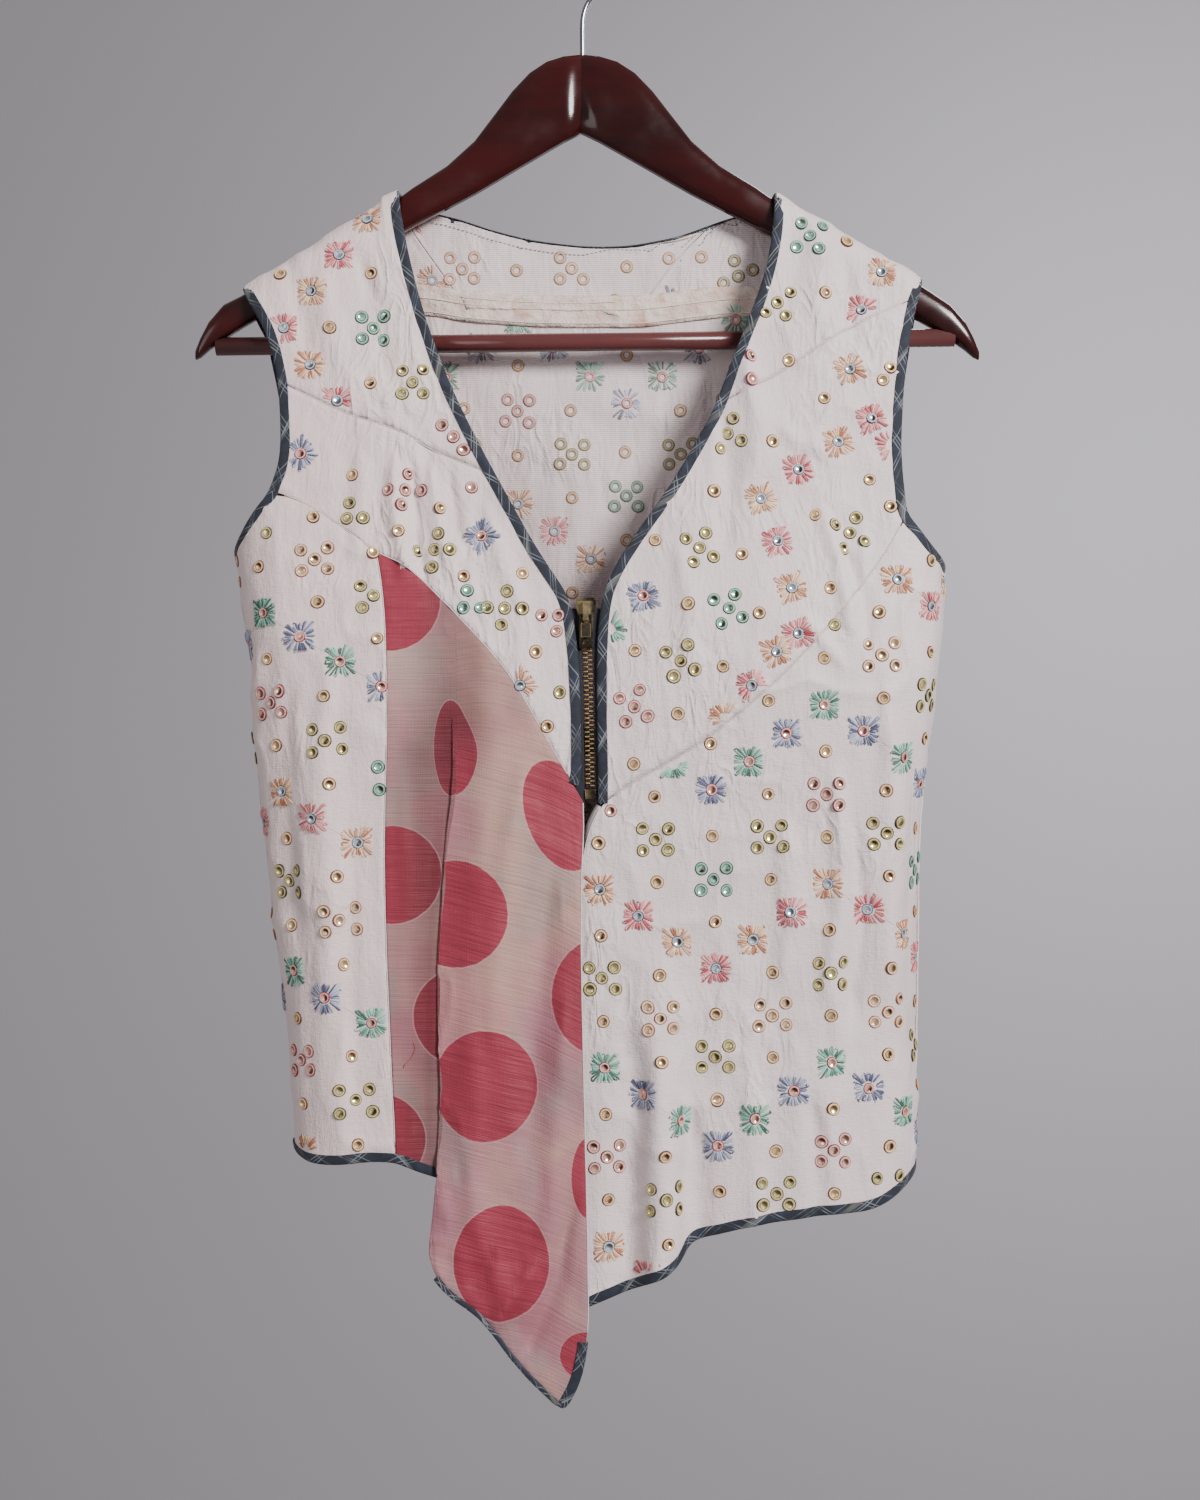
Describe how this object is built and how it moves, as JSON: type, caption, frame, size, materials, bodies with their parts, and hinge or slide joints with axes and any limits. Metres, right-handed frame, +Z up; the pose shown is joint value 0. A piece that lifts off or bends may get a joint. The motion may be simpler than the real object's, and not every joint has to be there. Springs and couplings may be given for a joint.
{
  "type": "embroidered waistcoat on a clothes hanger",
  "caption": "Sleeveless patchwork waistcoat with a short front zip, bound edges and a pointed, asymmetric front hem, hanging on a shaped wooden hanger.",
  "frame": {"origin": "inside top of the hanger's hook, where a rail bears", "axes": "+Z up, along the hanging garment; +X towards the wearer's left, along the hanger; +Y towards the wearer's back"},
  "size_m": [0.4561, 0.0801, 0.8468],
  "materials": {
    "embroidered_cloth": "pale silky cloth with thread and sequin embroidery",
    "spotted_cloth": "slubbed cloth with large coral spots",
    "binding_cloth": "blue checked cotton, cut on the bias and folded",
    "hanger_wood": "dark red-brown, gloss lacquer",
    "hook_steel": "bright plated wire",
    "zip_tape": "black woven tape",
    "zip_brass": "antique, dulled"
  },
  "bodies": {
    "waistcoat": {"front_yoke_right": "embroidered_cloth", "front_bust_right": "embroidered_cloth", "side_panel_right": "embroidered_cloth", "drape_panel": "spotted_cloth", "front_yoke_left": "embroidered_cloth", "front_bust_left": "embroidered_cloth", "front_lower_left": "embroidered_cloth", "back_shoulder_right": "embroidered_cloth", "back_yoke": "embroidered_cloth", "back_shoulder_left": "embroidered_cloth", "back_panel": "embroidered_cloth", "neck_binding": "binding_cloth", "armhole_binding_right": "binding_cloth", "armhole_binding_left": "binding_cloth", "hem_binding_right": "binding_cloth", "hem_binding_drape": "binding_cloth", "hem_binding_left": "binding_cloth", "hem_binding_back": "binding_cloth", "hanger_arm_right": "hanger_wood", "hanger_arm_left": "hanger_wood", "hanger_bar": "hanger_wood", "hanger_hook": "hook_steel", "zip_tape_right": "zip_tape", "zip_tape_left": "zip_tape", "zip_chain": "zip_brass", "zip_bottom_stop": "zip_brass", "zip_slider": "zip_brass"},
    "pull_tab": {"zip_pull_tab": "zip_brass"}
  },
  "joints": [
    {"name": "pull_tab_hinge", "type": "hinge", "parent": "waistcoat", "child": "pull_tab", "pos_m": [0.00231, -0.03757, -0.3976], "axis": [-1, 0, 0], "range_deg": [0, 120]}
  ]
}
